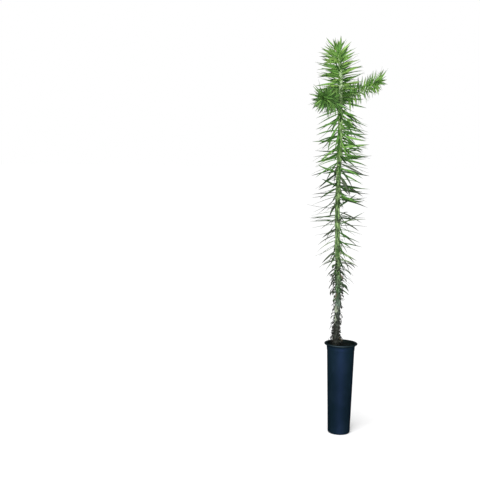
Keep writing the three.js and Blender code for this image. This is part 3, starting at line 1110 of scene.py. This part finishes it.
def scatter_crumbs(random):
    """Chips of bark on the soil, clear of the stem and of the pot's wall."""
    chip, chip_faces = model_crumb()
    finishes = [crumb_material(name, colour) for name, colour in CRUMB_COLOURS.items()]
    points, faces, slots = [], [], []
    edge = MOUTH_RADIUS - WALL - CRUMB_WALL_GAP
    for _ in range(CRUMBS):
        away = edge * math.sqrt(random.next())
        turn = random.next() * 2 * math.pi
        x, y = away * math.cos(turn), away * math.sin(turn)
        size = mix(*CRUMB_SIZE, random.next() ** CRUMB_SMALLNESS)
        if math.hypot(x - STEM_X, y) < STEM_RADIUS + ROOT_FLARE or away + size > edge:
            continue
        place = np.array([x, y, soil_height(x, y) + CRUMB_LIFT * size])
        first = len(points) * len(chip)
        points.append(chip @ turn_matrix(random).T * size + place)
        colour = int(random.next() * len(finishes))
        for face in chip_faces:
            faces.append(tuple(first + v for v in face))
            slots.append(colour)
    return joined_mesh("bark_crumbs", np.vstack(points), faces, finishes, slots)


class GroundAxis:
    """An axis for a needle that lies on the soil."""
    hanging = False
    length = 1.0

    def __init__(self, place):
        self.place = np.array(place)

    def point(self, t):
        return self.place + UP * t

    def radius(self, t):
        return ROOT_SINK


def lay_litter(blades, greens, random):
    """Dry needles that have dropped on the mound."""
    laid = []
    for _ in range(LITTER):
        away = mix(*LITTER_AWAY, random.next())
        turn = random.next() * 360
        x = STEM_X + away * math.cos(math.radians(turn))
        y = away * math.sin(math.radians(turn))
        needle = dict(
            t=0.0,
            azimuth=-turn + random.spread(LITTER_SCATTER["azimuth"]),
            leave=LITTER_LEAVE + random.spread(LITTER_SCATTER["leave"]),
            end=LITTER_END + random.spread(LITTER_SCATTER["end"]),
            length=mix(*LITTER_LENGTH, random.next()),
            roll=random.spread(LITTER_SCATTER["roll"]),
            width=mix(*LITTER_WIDTH, random.next()),
            thickness=LITTER_THICKNESS,
        )
        finish_needle(needle, LITTER_HABIT, random)
        needle["tip_colour"] = needle["colour"]
        if math.hypot(x, y) + needle["length"] < MOUTH_RADIUS - WALL - LITTER_WALL_GAP:
            laid.append((needle, GroundAxis((x, y, soil_height(x, y) + LITTER_LIFT))))
    return grow("needle_litter", laid, blades, greens)


# The plant, put together

def plant():
    greens = {name: needle_material(name, colour) for name, colour in COLOURS.items()}
    blades = {name: model_blade(outline) for name, outline in NEEDLE_OUTLINES.items()}
    random = Random(SEED)
    stem = StemAxis()
    on_stem = []
    slot_of = {node["node"]: node["material_slot"] for node in frame["record"]["subparts"]}

    for name, mass in STEM_NEEDLES.items():
        needles = needles_of(name, mass, stem, random)
        on_stem += needles
        piece = grow(name + "_fine", [(n, stem) for n in needles], blades, greens)
        dress(piece, slot_of[name], [name])

    bark = bark_material(STEM_FOOT * MM, (STEM_FOOT + STEM_LENGTH) * MM)
    trunk = tube(
        "stem_bark", stem, -STEM_SINK / STEM_LENGTH, 1.0, STEM_SIDES, STEM_RINGS,
        stem_relief(stem, on_stem),
    )
    dress(trunk, "green_bark", ["stem"], bark)

    for name, shoot in SHOOTS.items():
        axis = ShootAxis(stem, shoot)
        start = BOUGH_END + SHOOT_GAP + SHOOT_NEEDLES["width"] / 2
        mass = dict(SHOOT_NEEDLES, start=start, stop=axis.length, count=shoot["count"])
        needles = needles_of(f"shoot_{name}", mass, axis, random)
        piece = grow(f"shoot_{name}_fine", [(n, axis) for n in needles], blades, greens)
        dress(piece, slot_of[f"shoot_{name}"], [f"shoot_{name}"])
        limb = tube(
            f"bough_{name}_bark", axis, BOUGH_START / axis.length, 1.0, SHOOT_SIDES, SHOOT_RINGS,
            shoot_relief(axis, needles),
        )
        dress(limb, "green_bark", [f"bough_{name}"], bark)

    pot = dress(model_pot(), "pot_plastic", ["pot"])
    finish_pot(pot)
    dress(model_soil(), "potting_mix", ["potting_soil"], soil_material())
    on_soil = Random(SOIL_SEED)
    dress(scatter_crumbs(on_soil), "potting_mix", [])
    dress(lay_litter(blades, greens, on_soil), "dry_needles", [])


# Stage: a pale floor, soft light and the camera, in metres

FLOOR_SIDES = 128
FLOOR_RADIUS = 30


def pale_floor():
    floor = disc("floor", FLOOR_SIDES, FLOOR_RADIUS)
    paint, _, shader, _ = material("floor_paint")
    shader.inputs["Base Color"].default_value = (0.97, 0.97, 0.97, 1.0)
    shader.inputs["Roughness"].default_value = 0.9
    shader.inputs["Specular IOR Level"].default_value = 0.0
    floor.data.materials.append(paint)
    floor.visible_glossy = False


FILL_LIGHT = 0.6
KEY_LIGHT = 2.2
KEY_AZIMUTH = -24
KEY_ELEVATION = 42
KEY_SPREAD = 50
BOX_LIGHT = 22.0
BOX_PLACE = (0.15, -1.55, 0.56)
BOX_AIM = (0, 0, 0.4)
BOX_SIZE = (1.25, 1.1)


def add_light(kind, name):
    light = add_object(name, bpy.data.lights.new(name, kind))
    light.visible_camera = False
    return light


def studio():
    """A dim white surround that the camera sees pure white, a wide soft light and a tall soft box."""
    scene = bpy.context.scene
    scene.view_settings.view_transform = "Standard"
    scene.view_settings.look = "None"
    world = bpy.data.worlds.new("studio")
    scene.world = world
    world.use_nodes = True
    world.cycles_visibility.glossy = False
    tree = world.node_tree
    sky = tree.nodes["Background"]
    sky.inputs["Color"].default_value = (1.0, 1.0, 1.0, 1.0)
    seen = tree.nodes.new("ShaderNodeLightPath")
    strength = to_range(tree, seen.outputs["Is Camera Ray"], FILL_LIGHT, 1.0)
    tree.links.new(strength, sky.inputs["Strength"])

    key = add_light("SUN", "key")
    key.data.energy = KEY_LIGHT
    key.data.angle = math.radians(KEY_SPREAD)
    tilt = Matrix.Rotation(math.radians(90 - KEY_ELEVATION), 4, "X")
    key.matrix_world = Matrix.Rotation(math.radians(KEY_AZIMUTH), 4, "Z") @ tilt

    box = add_light("AREA", "soft_box")
    box.data.shape = "RECTANGLE"
    box.data.size, box.data.size_y = BOX_SIZE
    box.data.energy = BOX_LIGHT
    box.location = BOX_PLACE
    box.rotation_euler = (Vector(BOX_AIM) - Vector(BOX_PLACE)).to_track_quat("-Z", "Y").to_euler()


CAMERA_DISTANCE = 1.6065
CAMERA_HEIGHT = 0.5432
CAMERA_YAW = 7.0986
CAMERA_PITCH = 5.986
CAMERA_ROLL = 0.746
SENSOR_WIDTH = 36.0
FOCAL_PIXELS = 835.6
FRAME_PIXELS = 480


def photographer():
    data = bpy.data.cameras.new("camera")
    data.sensor_width = SENSOR_WIDTH
    data.lens = SENSOR_WIDTH * FOCAL_PIXELS / FRAME_PIXELS
    camera = add_object("camera", data)
    turn = Matrix.Rotation(math.radians(CAMERA_YAW), 4, "Z")
    tilt = Matrix.Rotation(math.radians(90 - CAMERA_PITCH), 4, "X")
    roll = Matrix.Rotation(math.radians(CAMERA_ROLL), 4, "Z")
    place = Matrix.Translation((0, -CAMERA_DISTANCE, CAMERA_HEIGHT))
    camera.matrix_world = place @ turn @ tilt @ roll
    bpy.context.scene.camera = camera


plant()
pale_floor()
studio()
photographer()

bpy.context.view_layer.update()
